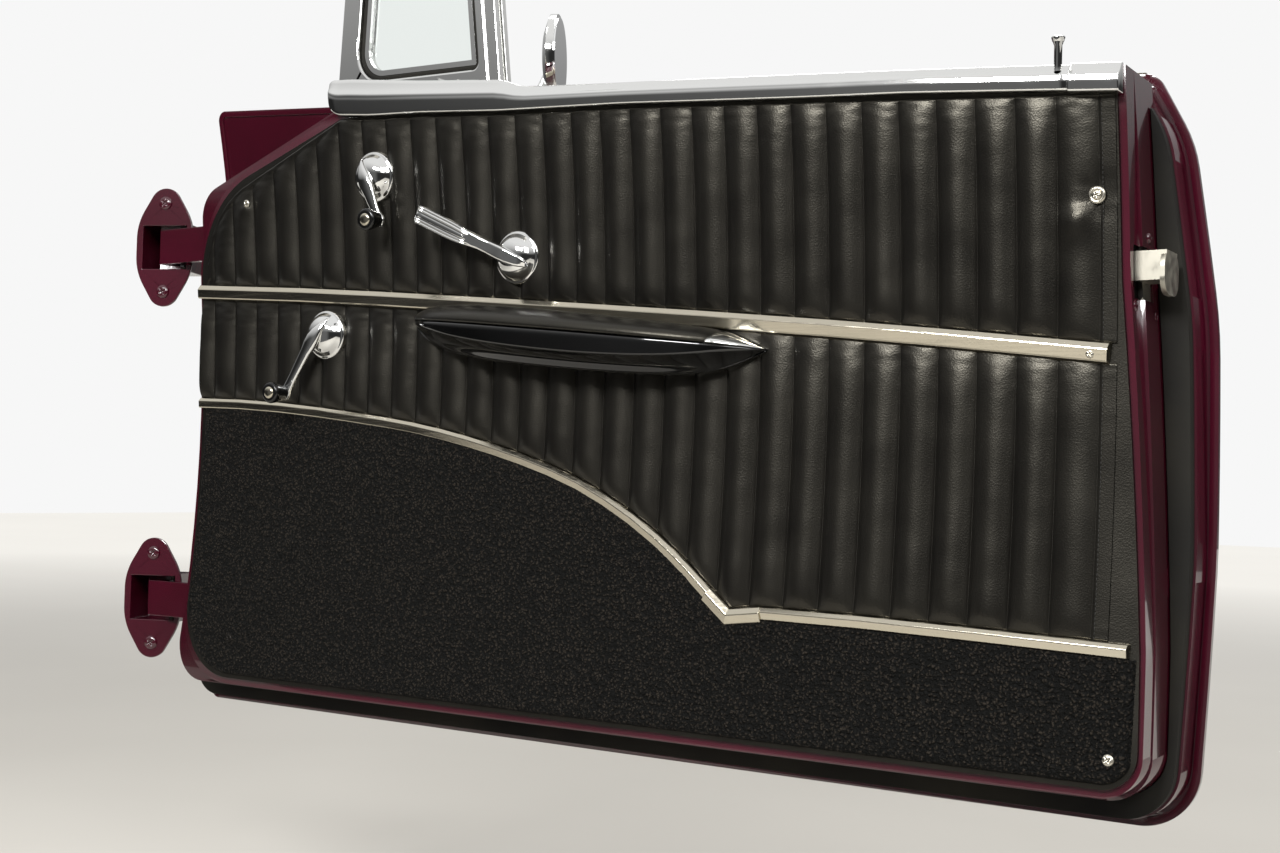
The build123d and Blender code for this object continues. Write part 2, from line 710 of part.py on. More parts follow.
def hub():
    """Domed boss and neck, on a plane that looks at the cabin."""
    return revolve(Plane.XZ * make_face(Polyline(*HUB_ROWS, close=True).edges()), axis=Axis.Z)


def crank(length, angle):
    """Dome, hub and tapered arm."""
    arm = make_face([
        ThreePointArc((0, 8), (-8, 0), (0, -8)),
        Line((0, -8), (length, -6.5)),
        ThreePointArc((length, -6.5), (length + 6.5, 0), (length, 6.5)),
        Line((length, 6.5), (0, 8)),
    ])
    return hub() + Rot(0, 0, angle) * (Pos(0, 0, 15) * extrude(arm, amount=7))


frame_face = shell(TIER_1, 60)
spindle = Pos(0, 0, -5) * Cylinder(SPINDLE_R, 12)
# name, hub, arm length, angle of the arm, knob length
CRANK_ROWS = [
    ("vent_crank", VENT_HUB, 40, -84, 20),
    ("window_crank", WINDOW_HUB, 82, -138, 24),
]
for name, (x, z), length, angle, knob_length in CRANK_ROWS:
    place = seat(x, z, BOARD_FACE - PLEAT_BASE - PLEAT_H).location
    save((place * crank(length, angle) - crest) + (place * spindle - frame_face), name)
    end_x = length * math.cos(math.radians(angle))
    end_y = length * math.sin(math.radians(angle))
    knob = Pos(end_x, end_y, 22 + knob_length / 2) * Cylinder(9, knob_length)
    save(place * knob, f"{name}_knob")

# Inside door handle: dome, neck and flat fluted grip that rises away from the trim
grip_side = rounded([
    (0, 12, 0),
    (30, 12, 20),
    (64, 26, 20),
    (138, 33, 0),
    (138, 39, 0),
    (60, 33, 20),
    (20, 22, 20),
    (0, 22, 0),
])
grip_plan = rounded([
    (-8, -8, 7),
    (60, -6, 20),
    (80, -9, 20),
    (140, -9, 6),
    (140, 9, 6),
    (80, 9, 20),
    (60, 6, 20),
    (-8, 8, 7),
])
grip = Pos(0, 12, 0) * extrude(Plane.XZ * grip_side, amount=24)
grip &= extrude(grip_plan, amount=60)
handle = hub() + Rot(0, 0, 158) * grip
place = seat(HANDLE_HUB[0], HANDLE_HUB[1], BOARD_FACE - PLEAT_BASE - PLEAT_H).location
save((place * handle - crest) + (place * spindle - frame_face), "inside_handle")
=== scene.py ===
import math
import bpy
from mathutils import Matrix, Vector, noise


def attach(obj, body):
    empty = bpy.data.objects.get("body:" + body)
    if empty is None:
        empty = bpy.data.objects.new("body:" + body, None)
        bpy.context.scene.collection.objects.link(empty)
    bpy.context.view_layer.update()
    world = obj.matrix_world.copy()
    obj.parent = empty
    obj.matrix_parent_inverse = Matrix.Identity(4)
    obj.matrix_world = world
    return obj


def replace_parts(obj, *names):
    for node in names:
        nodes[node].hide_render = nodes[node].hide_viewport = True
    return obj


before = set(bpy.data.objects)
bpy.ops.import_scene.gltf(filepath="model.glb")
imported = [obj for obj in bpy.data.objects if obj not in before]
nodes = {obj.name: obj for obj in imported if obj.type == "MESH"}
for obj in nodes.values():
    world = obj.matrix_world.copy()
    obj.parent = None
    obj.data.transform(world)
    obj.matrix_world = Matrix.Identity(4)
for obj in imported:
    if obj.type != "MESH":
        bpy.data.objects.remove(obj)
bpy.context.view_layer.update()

# Trim board: hardboard wrapped in black grained vinyl. Its plain border shows round the pleats.
# The CAD board stays and takes the vinyl, which has a soft sheen over a fine leather grain.


def linear(hex_colour):
    """Linear RGBA from an sRGB hex colour."""
    values = [int(hex_colour[i:i + 2], 16) / 255 for i in (1, 3, 5)]
    return [v / 12.92 if v <= 0.04045 else ((v + 0.055) / 1.055) ** 2.4 for v in values] + [1.0]


def add(mat, kind, links=(), **settings):
    """Adds a shader node. Settings are attributes or inputs, and links are (input, node, output)."""
    made = mat.node_tree.nodes.new(kind)
    for key, value in settings.items():
        plain = key.replace("_", " ")
        if plain in made.inputs:
            made.inputs[plain].default_value = value
        else:
            setattr(made, key, value)
    for target, source, output in links:
        mat.node_tree.links.new(source.outputs[output], made.inputs[target])
    return made


def finish(name, colour, **inputs):
    """New material with one Principled shader. Returns it, its shader and its coordinates in metres."""
    mat = bpy.data.materials.new(name)
    mat.use_nodes = True
    shader = mat.node_tree.nodes["Principled BSDF"]
    shader.inputs["Base Color"].default_value = linear(colour)
    for key, value in inputs.items():
        shader.inputs[key.replace("_", " ")].default_value = value
    return mat, shader, add(mat, "ShaderNodeTexCoord")


def relief(mat, shader, source, output, depth_mm, strength=1.0, sunk=False):
    """Bump of a real depth, in millimetres, laid over any bump that the shader already has."""
    bump = add(mat, "ShaderNodeBump", [("Height", source, output)],
               Strength=strength, Distance=depth_mm / 1000)
    bump.invert = sunk
    socket = shader.inputs["Normal"]
    if socket.is_linked:
        mat.node_tree.links.new(socket.links[0].from_socket, bump.inputs["Normal"])
    mat.node_tree.links.new(bump.outputs["Normal"], socket)


def spread(mat, shader, target, source, output, low, high, start=0.3, stop=0.7):
    """Sends a texture to one shader input, spread between two values."""
    ranged = add(mat, "ShaderNodeMapRange", [("Value", source, output)],
                 From_Min=start, From_Max=stop, To_Min=low, To_Max=high)
    mat.node_tree.links.new(ranged.outputs["Result"], shader.inputs[target])


def tint(mat, shader, source, output, low, high, start=0.3, stop=0.7):
    """Sends a texture to the base colour, from one hex colour to another."""
    ramp = add(mat, "ShaderNodeValToRGB", [("Fac", source, output)])
    ramp.color_ramp.elements[0].color = linear(low)
    ramp.color_ramp.elements[0].position = start
    ramp.color_ramp.elements[1].color = linear(high)
    ramp.color_ramp.elements[1].position = stop
    mat.node_tree.links.new(ramp.outputs["Color"], shader.inputs["Base Color"])


def cloudy(mat, coords, size_mm, detail=4.0):
    """Noise texture whose blotches have about that size."""
    return add(mat, "ShaderNodeTexNoise", [("Vector", coords, "Object")],
               Scale=500.0 / size_mm, Detail=detail)


def round_edges(obj, width_mm, segments=2, sharper_than=35):
    """Bevel on the edges that turn by more than some degrees."""
    bevel = obj.modifiers.new("rounded_edges", "BEVEL")
    bevel.width = width_mm / 1000
    bevel.segments = segments
    bevel.limit_method = "ANGLE"
    bevel.angle_limit = math.radians(sharper_than)


def dress(name, mat, bevel_mm=0.0, segments=2):
    """A CAD node with one material and, where its edges are rounded, a bevel."""
    obj = nodes[name]
    obj.data.materials.clear()
    obj.data.materials.append(mat)
    if bevel_mm:
        obj.modifiers.new("weld", "WELD").merge_threshold = 0.00002
        round_edges(obj, bevel_mm, segments)


# Grained black vinyl on the board, the pleats and the armrest. Its pebbles break the light into a soft,
# warm sheen that handling has left cloudy. They are drawn coarser than real ones, so that they show.
PEBBLE_MM = 1.389
vinyl, shader, coords = finish("black_vinyl", "#0f0e0c", Roughness=0.3, Specular_IOR_Level=0.5)
shader.inputs["Specular Tint"].default_value = linear("#efe8d6")
grain = add(vinyl, "ShaderNodeTexVoronoi", [("Vector", coords, "Object")], Scale=1000 / PEBBLE_MM)
relief(vinyl, shader, grain, "Distance", 0.2, 0.45)
wear = cloudy(vinyl, coords, 22.0)
spread(vinyl, shader, "Roughness", wear, "Fac", 0.28, 0.34)
tint(vinyl, shader, wear, "Fac", "#0f0e0d", "#131210")
dress("trim_board", vinyl, 1.2, 3)

# Pleated panels: sewn vinyl pleats 35 mm wide over foam, pinched where the bright strips clamp them.
# Each is one sheet of columns from its lower to its upper edge, with its rim turned down to the board.
# Sizes are the door's millimetres: x runs from the hinge pins to the rear, z is up, and depths run
# outwards from the trim face, along the bow's radius.

BOW_R = 1770.0                      # radius and height of the door's upright bow
BOW_Z = -275.0
ORIGIN = (0.504, 33.341, -98.0)     # the upper pillar plate, where the frame has its zero


def frame_spot(x, y, z):
    """Frame metres of a place in the door's millimetres."""
    return Vector(((x - ORIGIN[0]) / 1000, (y - ORIGIN[1]) / 1000, (z - ORIGIN[2]) / 1000))


def bow_y(depth, z):
    """Y of the bowed door at a depth and a height."""
    return math.sqrt((BOW_R + depth) ** 2 - (z - BOW_Z) ** 2) - BOW_R


def spot(x, depth, z):
    """Frame metres of a place at a depth on the bowed door."""
    return frame_spot(x, bow_y(depth, z), z)


def corner_path(rows, steps=14):
    """Points along corner rows of x, z and radius, from the first row to the last."""
    points = []
    for i, (x, z, radius) in enumerate(rows):
        here = Vector((x, z))
        if radius == 0 or i in (0, len(rows) - 1):
            points.append((x, z))
            continue
        a = (Vector(rows[i - 1][:2]) - here).normalized()
        b = (Vector(rows[i + 1][:2]) - here).normalized()
        half = a.angle(b) / 2
        centre = here + (a + b).normalized() * (radius / math.sin(half))
        start = here + a * (radius / math.tan(half)) - centre
        end = here + b * (radius / math.tan(half)) - centre
        turn = start.angle_signed(end)
        for k in range(steps + 1):
            angle = -turn * k / steps
            points.append((
                centre.x + start.x * math.cos(angle) - start.y * math.sin(angle),
                centre.y + start.x * math.sin(angle) + start.y * math.cos(angle),
            ))
    return points


def level(points, x):
    """Height of a path at x, for a path that runs one way."""
    for (x0, z0), (x1, z1) in zip(points, points[1:]):
        if x0 <= x <= x1 and x1 > x0:
            return z0 + (z1 - z0) * (x - x0) / (x1 - x0)
    return points[0][1] if x < points[0][0] else points[-1][1]


def grid_faces(columns, rows, wrap=False, loop=False):
    """Quads of a grid listed column by column; wrap joins its columns, loop joins its rows."""
    quads = []
    for i in range(columns if wrap else columns - 1):
        j = (i + 1) % columns
        for k in range(rows if loop else rows - 1):
            m = (k + 1) % rows
            quads.append((i * rows + k, j * rows + k, j * rows + m, i * rows + m))
    return quads


def piece(name, points, faces, mat, body="door", place=None, smooth=True):
    """Mesh object in its place, with a material and a body to ride on."""
    data = bpy.data.meshes.new(name)
    data.from_pydata(points, [], faces)
    data.validate()
    data.polygons.foreach_set("use_smooth", [smooth] * len(data.polygons))
    data.materials.append(mat)
    obj = bpy.data.objects.new(name, data)
    if place is not None:
        obj.matrix_world = place
    bpy.context.scene.collection.objects.link(obj)
    bpy.context.view_layer.update()
    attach(obj, body)
    return obj


STRIP_H = 16.5
PLEATS_REAR = 1199.0
# x and z along the top of each bright strip, and along the top of the pleats
STRIP_TOP = [
    (114, -154.5), (282, -165.5), (403, -175), (542, -187), (670, -198.5), (808, -211.3), (944, -224.7),
    (1049, -236), (1195, -253),
]
ARC_TOP = [
    (116, -287.5), (186, -289.8), (252, -294), (310, -299.3), (361, -304.8), (410, -310.6), (449, -316),
    (490, -323), (528, -330.8), (565, -339.4), (601, -348.8), (637, -359.5), (673, -372.3), (707, -387.6),
    (739, -404.5), (769, -423), (790, -438), (808, -451.8), (822, -463.4), (835, -474),
]
JOINT_TOP = [(830, -470), (853, -488), (886, -484)]
REAR_TOP = [(880, -483.8), (985, -485), (1094, -488.2), (1217, -492.3)]
LOWER_EDGE = ARC_TOP[:-1] + JOINT_TOP[:2] + REAR_TOP
UPPER_EDGE = corner_path([
    (122, -161, 0), (122, -72, 110), (350, 13, 0), (404, 8, 0), (472, 4, 0), (578, -5.5, 0),
    (725, -14.5, 0), (919, -30.5, 0), (PLEATS_REAR, -54, 0),
])
PLEAT_W = 35.0
LAST_SEAM = 1185.0
SEAM_DEPTH = 0.2
PLEAT_RISE = 8.2
PINCH_LOW = 7.0                     # how far the pinch reaches in from the lower edge
PINCH_HIGH = 22.0                   # and from the upper edge, with a longer and weaker tail
PINCH_TAIL = 70.0
RIM_DEPTH = 1.0                     # the rims turn down to this depth
BORDER = 5.0                        # flat border along the rounded front corner, and where it stops
BORDER_STOP = 360.0
BORDER_FADE = 30.0
# shares of a pleat's width, closer together beside the seams
PLEAT_STEPS = (
    0, 0.012, 0.035, 0.07, 0.12, 0.19, 0.28, 0.39, 0.5, 0.61, 0.72, 0.81, 0.88, 0.93, 0.965, 0.988,
)
ROW_STEPS = 52
WASHER = (1183.0, -133.0)           # cup washer that pulls the vinyl in
BUMPS = ((430.0, -80.0), (431.0, -96.0), (196.0, -72.0))    # fixings that press out under the vinyl


def pleat_depth(x, z, low, high, border):
    """Depth of the padded vinyl: round pleats, uneven by hand, pinched near the panel's ends."""
    below = max(high - border, 0)
    ends = math.exp(-low / PINCH_LOW)
    ends += 0.8 * math.exp(-below / PINCH_HIGH) + 0.35 * math.exp(-below / PINCH_TAIL)
    number = math.floor((LAST_SEAM - x) / PLEAT_W)
    share = (LAST_SEAM - x) / PLEAT_W - number
    uneven = 1 + 0.08 * noise.noise((number * 3.7, z / 90, 0.3))
    uneven += 0.05 * noise.noise((number * 9.1, z / 23, 5.0))
    rise = PLEAT_RISE * math.sin(math.pi * share) ** 0.75 * uneven * max(0.0, 1 - 0.72 * ends)
    # the border behind the last seam is flat, and the pleat before it has less foam
    if x > LAST_SEAM:
        rise = 0.9
    elif x > LAST_SEAM - PLEAT_W:
        rise *= 0.62
    if border > 0 and high < border:
        rise = 1.0 - 0.4 * (1 - high / border) ** 2
    pucker = 0.4 * noise.noise((x / 13, z / 5.0, 2.0)) * ends + 0.2 * noise.noise((x / 40, z / 60, 7.0))
    # the washer draws five creases in, and one fold runs down and forward from it
    away = math.hypot(x - WASHER[0], z - WASHER[1])
    angle = math.atan2(z - WASHER[1], x - WASHER[0])
    pulled = (1.8 + 1.1 * math.cos(5 * angle + 0.6)) * math.exp(-((away - 4) / 12) ** 2)
    pulled -= 3.4 * math.exp(-((angle + 2.3) / 0.45) ** 2 - ((away - 26) / 15) ** 2)
    for bump_x, bump_z in BUMPS:
        pulled -= 2.0 * math.exp(-((x - bump_x) ** 2 + (z - bump_z) ** 2) / 30)
    return min(SEAM_DEPTH - rise + pucker * 1.2 + pulled, 0.9)


def pleated(name, low_edge, high_edge, x0, x1, border):
    """One pleated panel between two edges; a border runs flat along its rounded front corner."""
    xs = [x0]
    for number in range(math.ceil((LAST_SEAM - x0) / PLEAT_W), 0, -1):
        for share in PLEAT_STEPS:
            x = LAST_SEAM - PLEAT_W * (number - share)
            if x > x0 + 0.2:
                xs.append(x)
    xs += [LAST_SEAM, LAST_SEAM + 0.8, LAST_SEAM + 4, x1]
    points = []
    for x in xs:
        low = level(low_edge, x)
        high = level(high_edge, x)
        slope = (level(high_edge, x + 3) - level(high_edge, x - 3)) / 6
        lean = 1 / math.sqrt(1 + slope * slope)
        margin = border * min(1.0, max(0.0, (BORDER_STOP - x) / BORDER_FADE))
        points.append(spot(x, RIM_DEPTH, low))
        for k in range(ROW_STEPS + 1):
            t = k / ROW_STEPS
            z = low + (high - low) * (0.45 * t + 0.55 * (0.5 - 0.5 * math.cos(math.pi * t)))
            points.append(spot(x, pleat_depth(x, z, z - low, (high - z) * lean, margin), z))
        points.append(spot(x, RIM_DEPTH, high))
    return piece(name, points, grid_faces(len(xs), ROW_STEPS + 3), vinyl)


strip_low = [(x, z - STRIP_H) for x, z in STRIP_TOP]
upper = pleated("upper_pleats_sewn", STRIP_TOP, UPPER_EDGE, 122.0, PLEATS_REAR, BORDER)
middle = pleated("middle_pleats_sewn", LOWER_EDGE, strip_low, 117.0, PLEATS_REAR, 0.0)
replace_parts(upper, "upper_pleats")
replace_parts(middle, "middle_pleats")

# Stitching: one upright row of black sewing thread, which holds the border behind the last seam of both
# panels. Each stitch is a short six-sided bead with thin ends.
# Black thread: twisted fibre, dull and a little lighter than the vinyl, so that the row shows.
thread, shader, coords = finish("black_thread", "#242320", Roughness=0.7)
relief(thread, shader, cloudy(thread, coords, 0.1667, 2.0), "Fac", 0.05)
STITCH = 2.7
STITCH_PITCH = 3.9
STITCH_X = LAST_SEAM + 3
STITCH_DEPTH = -0.75
STITCHED = ((-248, -48), (-490, -272))      # lower and upper end of the row in each panel


def beads(name, places, mat):
    """Short six-sided stitches that lie upright at places of x, depth and z."""
    points = []
    faces = []
    for x, depth, z in places:
        first = len(points)
        for dz, radius in ((-0.5, 0.12), (-0.3, 0.34), (0.3, 0.34), (0.5, 0.12)):
            for side in range(6):
                angle = math.pi * side / 3
                across = radius * math.cos(angle)
                points.append(spot(x + across, depth + radius * math.sin(angle), z + dz * STITCH))
        for ring in range(3):
            for side in range(6):
                a = first + ring * 6 + side
                b = first + ring * 6 + (side + 1) % 6
                faces.append((a, b, b + 6, a + 6))
    return piece(name, points, faces, mat)


thread_rows = []
for low, high in STITCHED:
    for k in range(int((high - low) / STITCH_PITCH)):
        thread_rows.append((STITCH_X, STITCH_DEPTH, low + k * STITCH_PITCH))
beads("border_stitches", thread_rows, thread)

# Carpet panel: near-black loop pile bound to the board, with curly loops about 3 mm across.
# One close grid is pushed out by two layers of curl, and its rim turns down to the board.
# Loop pile: dull yarn that drinks the light. Its crowns are a painted grey-brown highlight, and black painted
# shade lies between them.
LOOP_MM = 3.125
CURL_MM = 1.923                     # size of the wander in the loops' outlines
carpet, shader, coords = finish("black_loop_carpet", "#100f0e", Roughness=0.75, Specular_IOR_Level=0.15)
warp = cloudy(carpet, coords, CURL_MM, 2.0)
shift = add(carpet, "ShaderNodeVectorMath", [(0, warp, "Color")], operation="SCALE", Scale=0.005)
bent = add(carpet, "ShaderNodeVectorMath", [(0, coords, "Object"), (1, shift, "Vector")], operation="ADD")
loops = add(carpet, "ShaderNodeTexVoronoi", [("Vector", bent, "Vector")], Scale=1000 / LOOP_MM)
relief(carpet, shader, loops, "Distance", 2.2, 1.0, sunk=True)
# painted highlight on the loops' crowns and painted shade in the hollows between them, from the bump's own
# cells
tint(carpet, shader, loops, "Distance", "#37312a", "#030302", 0.02, 0.45)
CARPET_PITCH = 2.3
CARPET_ROWS = 128
CARPET_FRONT = 124.0
CARPET_REAR = 1222.0
CARPET_LOW = -602.0
FRONT_CORNER = (129, 80)            # x where the bottom corner ends, and its radius
REAR_CORNER = (1224, 26)
UNDER_STRIP = 12.4                  # the pile starts this far below the lower strip's top edge


def carpet_low(x):
    """Lower edge of the carpet, round its two bottom corners."""
    for reach, radius in ((x - FRONT_CORNER[0], FRONT_CORNER[1]), (REAR_CORNER[0] - x, REAR_CORNER[1])):
        if reach < radius:
            return CARPET_LOW + radius - math.sqrt(radius ** 2 - min(radius, radius - reach) ** 2)
    return CARPET_LOW


def pile_depth(x, z, edge):
    """Depth of the pile's tips: curly ridges, rounded down at the edge."""
    curl = abs(noise.noise((x / 4.2, z / 4.2, 0.0))) + 0.6 * abs(noise.noise((x / 2.4, z / 2.4, 9.0)))
    return -5.6 + 2.4 * curl + 0.6 * noise.noise((x / 60, z / 60, 3.0)) + 6.0 * math.exp(-edge / 2.0)


columns = int((CARPET_REAR - CARPET_FRONT) / CARPET_PITCH)
points = []
for i in range(columns + 1):
    x = CARPET_FRONT + (CARPET_REAR - CARPET_FRONT) * i / columns
    high = level(LOWER_EDGE, x) - UNDER_STRIP
    low = carpet_low(x)
    side = min(x - CARPET_FRONT, CARPET_REAR - x)
    points.append(spot(x, RIM_DEPTH, low))
    for k in range(CARPET_ROWS + 1):
        z = low + (high - low) * k / CARPET_ROWS
        jitter = 0.7 * noise.noise((x * 1.7, z * 1.7, 1.0))
        points.append(spot(x + jitter, min(pile_depth(x, z, min(z - low, side)), 0.8), z))
    points.append(spot(x, RIM_DEPTH, high))
faces = grid_faces(columns + 1, CARPET_ROWS + 3)
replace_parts(piece("carpet_pile", points, faces, carpet), "carpet_panel")

# Bright strips: rolled stainless mouldings with a narrow top face and a wider lower face.
# The upper one bows up a little. The lower one sweeps down to a cast, pointed joint and a rear length.
# Polished stainless steel: warm grey shine with fine rolling streaks and shallow waves along its length.
STREAK_LONG = 125.0
STREAK_WIDE = 2.0
stainless, shader, coords = finish("polished_stainless", "#c6bfae", Metallic=1.0, Roughness=0.16)
along = add(stainless, "ShaderNodeMapping", [("Vector", coords, "Object")],
            Scale=(1000 / STREAK_LONG, 1000 / STREAK_WIDE, 1000 / STREAK_WIDE))
streak = add(stainless, "ShaderNodeTexNoise", [("Vector", along, "Vector")], Scale=1.0, Detail=2.0)
spread(stainless, shader, "Roughness", streak, "Fac", 0.1, 0.24)
relief(stainless, shader, cloudy(stainless, coords, 14.0), "Fac", 0.3, 0.12)

# distance below the strip's top edge, depth
UPPER_PROFILE = (
    (0, 1), (0.2, -3.0), (0.9, -4.8), (5.2, -8.0), (6.2, -8.2), (14.8, -5.6), (16.1, -4.4), (STRIP_H, 1),
)
JOINT_PROFILE = ((-1, 1), (-0.8, -4), (0, -6), (4.6, -8.4), (5.4, -8.5), (12.8, -6.2), (14, -5), (14.4, 1))
LOWER_PROFILE = (
    (0, 1), (0.2, -3.4), (0.8, -4.6), (3.8, -7.0), (4.8, -7.1), (10.8, -5.1), (11.8, -4), (12, 1),
)
STRIP_END = 1.2
UPRIGHT_FROM = 680.0                # in front of this x the lower faces turn upright, over this length
UPRIGHT_OVER = 300.0
UPRIGHT_GAIN = 0.2                  # depth gained for each millimetre down the lower face
LOWER_FACE = 5                      # distance where the lower face starts


def end_faces(count, total):
    """Faces that close the first and the last section of a sweep."""
    return [tuple(range(count)), tuple(reversed(range(total - count, total)))]


def strip(name, path, profile, node):
    """Moulding swept along its top edge, with closed rounded ends."""
    stations = []
    for i, (x, z) in enumerate(path):
        here = Vector((x, z))
        before = here - Vector(path[i - 1]) if i else Vector(path[1]) - here
        before.normalize()
        after = (Vector(path[i + 1]) - here).normalized() if i + 1 < len(path) else before
        along = (before + after).normalized()
        stations.append((here, along, 1.0, 1 / along.dot(after)))
    (first, first_along, _, _), (last, last_along, _, _) = stations[0], stations[-1]
    stations[0] = (first + first_along * STRIP_END, first_along, 1.0, 1.0)
    stations[-1] = (last - last_along * STRIP_END, last_along, 1.0, 1.0)
    stations = [(first, first_along, 0.3, 1.0)] + stations + [(last, last_along, 0.3, 1.0)]
    points = []
    for place, along, rise, stretch in stations:
        down = Vector((along.y, -along.x))
        upright = max(0.0, min(1.0, (UPRIGHT_FROM - place.x) / UPRIGHT_OVER))
        for distance, depth in profile:
            q = place + down * distance * stretch
            if depth < 0:
                depth -= UPRIGHT_GAIN * upright * max(0.0, distance - LOWER_FACE)
            points.append(spot(q.x, 1 + (depth - 1) * rise, q.y))
    faces = grid_faces(len(stations), len(profile)) + end_faces(len(profile), len(points))
    obj = piece(name, points, faces, stainless, smooth=False)
    round_edges(obj, 0.5, sharper_than=14)
    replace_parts(obj, node)


def even_path(points, step):
    """The same path with points about a step apart."""
    out = [points[0]]
    for (x0, z0), (x1, z1) in zip(points, points[1:]):
        count = max(1, round(math.hypot(x1 - x0, z1 - z0) / step))
        for k in range(1, count + 1):
            out.append((x0 + (x1 - x0) * k / count, z0 + (z1 - z0) * k / count))
    return out


strip("upper_strip_rolled", even_path(STRIP_TOP, 25), UPPER_PROFILE, "upper_strip")
strip("lower_strip_front_rolled", even_path(ARC_TOP, 15), LOWER_PROFILE, "lower_strip_front")
strip("lower_strip_rear_rolled", even_path(REAR_TOP, 25), LOWER_PROFILE, "lower_strip_rear")
strip("lower_strip_joint_cast", JOINT_TOP, JOINT_PROFILE, "lower_strip_joint")

# Screws: nickel-plated domed heads with a cross recess, through the trim, the carpet and the strips.
# One of them sits in a cup washer. Each head is a polar grid whose cross is pressed in.
# Nickel plate: warm grey shine, a little cloudy. Blackened steel: dark metal with a fine, matt tooth.
nickel, shader, coords = finish("nickel_plate", "#c4bfb2", Metallic=1.0, Roughness=0.22)
spread(nickel, shader, "Roughness", cloudy(nickel, coords, 3.0), "Fac", 0.16, 0.36)
blackened, shader, coords = finish("blackened_steel", "#2a2826", Metallic=1.0, Roughness=0.4)
relief(blackened, shader, cloudy(blackened, coords, 1.0), "Fac", 0.1, 0.4)
HEAD_RINGS = 12
HEAD_SIDES = 40
HEAD_RISE = 0.42                    # height of the dome, as a share of the head's radius
CROSS_HALF = 0.11                   # half width, reach and depth of the cross, likewise
CROSS_REACH = 0.56
CROSS_DEPTH = 0.34


def seat(x, z, depth):
    """Matrix of a place on the bowed trim: its X runs to the rear and its Z at the cabin."""
    out = Vector((0, -(bow_y(depth, z) + BOW_R), BOW_Z - z)).normalized()
    side = Vector((1, 0, 0))
    turn = Matrix((side, out.cross(side), out)).transposed().to_4x4()
    return Matrix.Translation(spot(x, depth, z)) @ turn


def screw(name, place, radius, mat, turn=20, body="door"):
    """Domed head with a cross recess, its underside at the place."""
    points = []
    for i in range(HEAD_SIDES):
        angle = 2 * math.pi * i / HEAD_SIDES
        for k in range(HEAD_RINGS + 1):
            share = max(k / HEAD_RINGS, 0.004)
            x = radius * share * math.cos(angle)
            y = radius * share * math.sin(angle)
            height = HEAD_RISE * radius * math.sqrt(max(0.0, 1 - share ** 2.6))
            across = min(abs(x), abs(y))
            if across < CROSS_HALF * radius and share < CROSS_REACH:
                height -= CROSS_DEPTH * radius * (1 - share * 1.2)
            points.append((x / 1000, y / 1000, height / 1000))
    turned = place @ Matrix.Rotation(math.radians(turn), 4, "Z")
    faces = grid_faces(HEAD_SIDES, HEAD_RINGS + 1, wrap=True)
    return piece(name, points, faces, mat, body, turned)


def lathe(name, profile, mat, place, body="door", sides=56):
    """Piece turned about the place's Z, from rows of radius and height in millimetres."""
    points = []
    for i in range(sides):
        angle = 2 * math.pi * i / sides
        for radius, height in profile:
            reach = max(radius, 0.01) / 1000
            points.append((reach * math.cos(angle), reach * math.sin(angle), height / 1000))
    return piece(name, points, grid_faces(sides, len(profile), wrap=True), mat, body, place)


CUP_PROFILE = ((7.4, 0), (7.2, 0.6), (6.5, 1.3), (5.5, 1.7), (4.7, 1.4), (4, 0.9))
lathe("cup_washer", CUP_PROFILE, nickel, seat(*WASHER, -1.2))
screw("cup_washer_screw", seat(*WASHER, -2.0), 4.1, nickel)
# name, x, z, depth, radius, finish
SCREW_ROWS = [
    ("trim_front_screw", 198, -66, -4.0, 4.6, nickel),
    ("carpet_front_screw", 205, -562, -4.4, 5.0, blackened),
    ("carpet_rear_screw", 1206, -582, -4.4, 5.0, nickel),
    ("strip_front_screw", 130, -166.4, -6.0, 3.8, nickel),
    ("strip_rear_screw", 1179, -261.6, -6.2, 3.8, nickel),
]
for name, x, z, depth, radius, mat in SCREW_ROWS:
    screw(name, seat(x, z, depth), radius, mat, turn=7 * radius)

# Armrest: vinyl pad on a gloss-black canoe-shaped base, with a bright pointed tip at the rear.
# All three are sections along the armrest, smoothed by subdivision; the base has a finger recess.
# Gloss-black plastic: deep black that mirrors the room a little wavily.
gloss_black, shader, coords = finish("gloss_black_plastic", "#060606", Roughness=0.1, Coat_Weight=0.5)
spread(gloss_black, shader, "Roughness", cloudy(gloss_black, coords, 30.0), "Fac", 0.06, 0.16)
relief(gloss_black, shader, cloudy(gloss_black, coords, 40.0, 1.0), "Fac", 1.0, 0.12)
# Chrome plate: hard, cool mirror with the faint waves and haze of polished castings
chrome, shader, coords = finish("chrome_plate", "#e4e4e2", Metallic=1.0, Roughness=0.05)
spread(chrome, shader, "Roughness", cloudy(chrome, coords, 9.0), "Fac", 0.03, 0.1)
relief(chrome, shader, cloudy(chrome, coords, 30.0, 1.0), "Fac", 0.5, 0.06)
ARM_X = 453.0
ARM_Z = -210.0
ARM_TILT = math.radians(5.4)


def arm_spot(s, y, z):
    """Frame metres of a place along the tilted armrest."""
    x = ARM_X + s * math.cos(ARM_TILT) + z * math.sin(ARM_TILT)
    return frame_spot(x, y, ARM_Z - s * math.sin(ARM_TILT) + z * math.cos(ARM_TILT))


def arm_piece(name, stations, section, mat, node):
    """Sections along the armrest, smoothed; section gives y and z rows for a station."""
    points = []
    for row in stations:
        rows = section(*row[1:])
        points += [arm_spot(row[0], y, z) for y, z in rows]
    count = len(rows)
    obj = piece(name, points, grid_faces(len(stations), count), mat)
    smooth = obj.modifiers.new("smooth", "SUBSURF")
    smooth.levels = 2
    smooth.render_levels = 2
    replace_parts(obj, node)
    return obj


